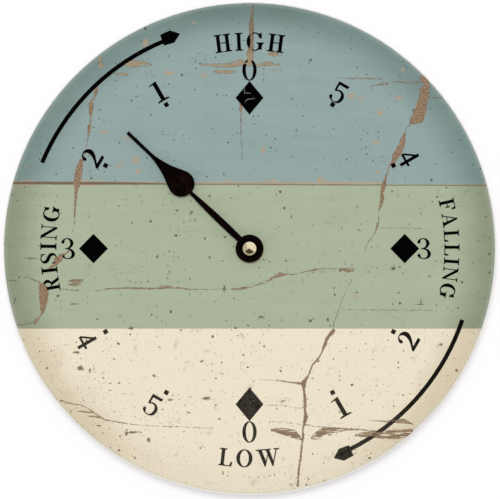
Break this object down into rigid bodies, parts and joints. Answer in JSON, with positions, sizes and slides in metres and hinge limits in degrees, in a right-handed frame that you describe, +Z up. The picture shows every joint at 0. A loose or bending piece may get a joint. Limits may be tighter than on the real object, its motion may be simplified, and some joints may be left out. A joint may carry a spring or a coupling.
{
  "type": "tide clock",
  "caption": "Round wall tide clock: a printed plank dial with one slim hand, and a battery movement with a geared train, set knob and hanger behind it.",
  "frame": {"origin": "where the hand's axis meets the wall plane, on the outer face of the movement's back cover", "axes": "+Z up, +Y into the wall; the dial faces -Y and the hand turns about Y"},
  "size_m": [0.267, 0.032, 0.267],
  "materials": {
    "board": "painted white edge, bare fibreboard back",
    "print": "matt print of painted planks",
    "ink": "matt black print",
    "steel": "zinc plated",
    "rubber": "matt",
    "brass": "turned",
    "case_plastic": "fine spark texture",
    "bridge_plastic": "moulded",
    "bobbin_plastic": "moulded",
    "copper": "enamelled wire",
    "circuit": "solder mask",
    "resin": "drop of resin",
    "can_metal": "drawn steel, nickel plated",
    "contact_metal": "nickel plated spring steel",
    "hand_paint": "satin black",
    "nickel": "turned and polished",
    "wheel_plastic": "acetal",
    "knob_plastic": "moulded",
    "magnet": "sintered",
    "seal_plastic": "moulded",
    "jacket": "shrunk film, plain"
  },
  "bodies": {
    "clock": {"dial_board": "board", "dial_print": "print", "hanger": "steel", "rubber_washer": "rubber", "metal_washer": "brass", "hex_nut": "brass", "threaded_bush": "brass", "front_case": "case_plastic", "train_bridge": "bridge_plastic", "back_cover": "case_plastic", "stator": "steel", "coil_core": "steel", "coil_bobbin": "bobbin_plastic", "coil_winding": "copper", "motor_screws": "steel", "circuit_board": "circuit", "chip_cover": "resin", "timing_crystal": "can_metal", "plus_contact": "contact_metal", "minus_contact": "contact_metal", "dial_numerals": "ink", "dial_markers": "ink", "dial_arrows": "ink", "dial_legends": "ink"},
    "hand_set": {"tide_hand": "hand_paint", "hand_bush": "brass", "cap_nut": "nickel", "tide_arbor": "brass", "tide_wheel": "wheel_plastic"},
    "knob_set": {"set_knob": "knob_plastic", "minute_wheel": "wheel_plastic"},
    "pinion_set": {"centre_pinion": "wheel_plastic", "clutch_washer": "steel", "clutch_collar": "brass"},
    "centre_set": {"centre_wheel": "wheel_plastic"},
    "third_set": {"third_wheel": "wheel_plastic"},
    "fourth_set": {"fourth_wheel": "wheel_plastic"},
    "fifth_set": {"fifth_wheel": "wheel_plastic"},
    "rotor_set": {"rotor_pinion": "wheel_plastic", "rotor_magnet": "magnet"},
    "cell": {"battery_can": "can_metal", "battery_seal": "seal_plastic", "battery_jacket": "jacket"}
  },
  "joints": [
    {"name": "tide_turn", "type": "hinge", "parent": "clock", "child": "hand_set", "pos_m": [0, 0, 0], "axis": [0, 1, 0], "continuous": true},
    {"name": "knob_turn", "type": "hinge", "parent": "clock", "child": "knob_set", "pos_m": [-0.00954, 0, 0], "axis": [0, 1, 0], "continuous": true},
    {"name": "pinion_turn", "type": "hinge", "parent": "clock", "child": "pinion_set", "pos_m": [-0.00506, 0, 0.00842], "axis": [0, 1, 0], "continuous": true},
    {"name": "fourth_turn", "type": "hinge", "parent": "clock", "child": "fourth_set", "pos_m": [0.01231, 0, 0.00695], "axis": [0, 1, 0], "continuous": true},
    {"name": "centre_turn", "type": "hinge", "parent": "clock", "child": "centre_set", "pos_m": [-0.00506, 0, 0.00842], "axis": [0, 1, 0], "continuous": true},
    {"name": "third_turn", "type": "hinge", "parent": "clock", "child": "third_set", "pos_m": [0.00394, 0, 0.00842], "axis": [0, 1, 0], "continuous": true},
    {"name": "fifth_turn", "type": "hinge", "parent": "clock", "child": "fifth_set", "pos_m": [0.01889, 0, 0.00934], "axis": [0, 1, 0], "continuous": true},
    {"name": "rotor_turn", "type": "hinge", "parent": "clock", "child": "rotor_set", "pos_m": [0.02044, 0, 0.00355], "axis": [0, 1, 0], "continuous": true},
    {"name": "cell_slide", "type": "slide", "parent": "clock", "child": "cell", "axis": [0, 1, 0], "range_m": [0, 0.02]}
  ],
  "couplings": [
    {"joint": "knob_turn", "follows": "tide_turn", "ratio": -3.6364},
    {"joint": "pinion_turn", "follows": "tide_turn", "ratio": 12.424},
    {"joint": "third_turn", "follows": "fourth_turn", "ratio": -0.13333},
    {"joint": "centre_turn", "follows": "fourth_turn", "ratio": 0.016667},
    {"joint": "fifth_turn", "follows": "fourth_turn", "ratio": -6},
    {"joint": "rotor_turn", "follows": "fourth_turn", "ratio": 30}
  ]
}
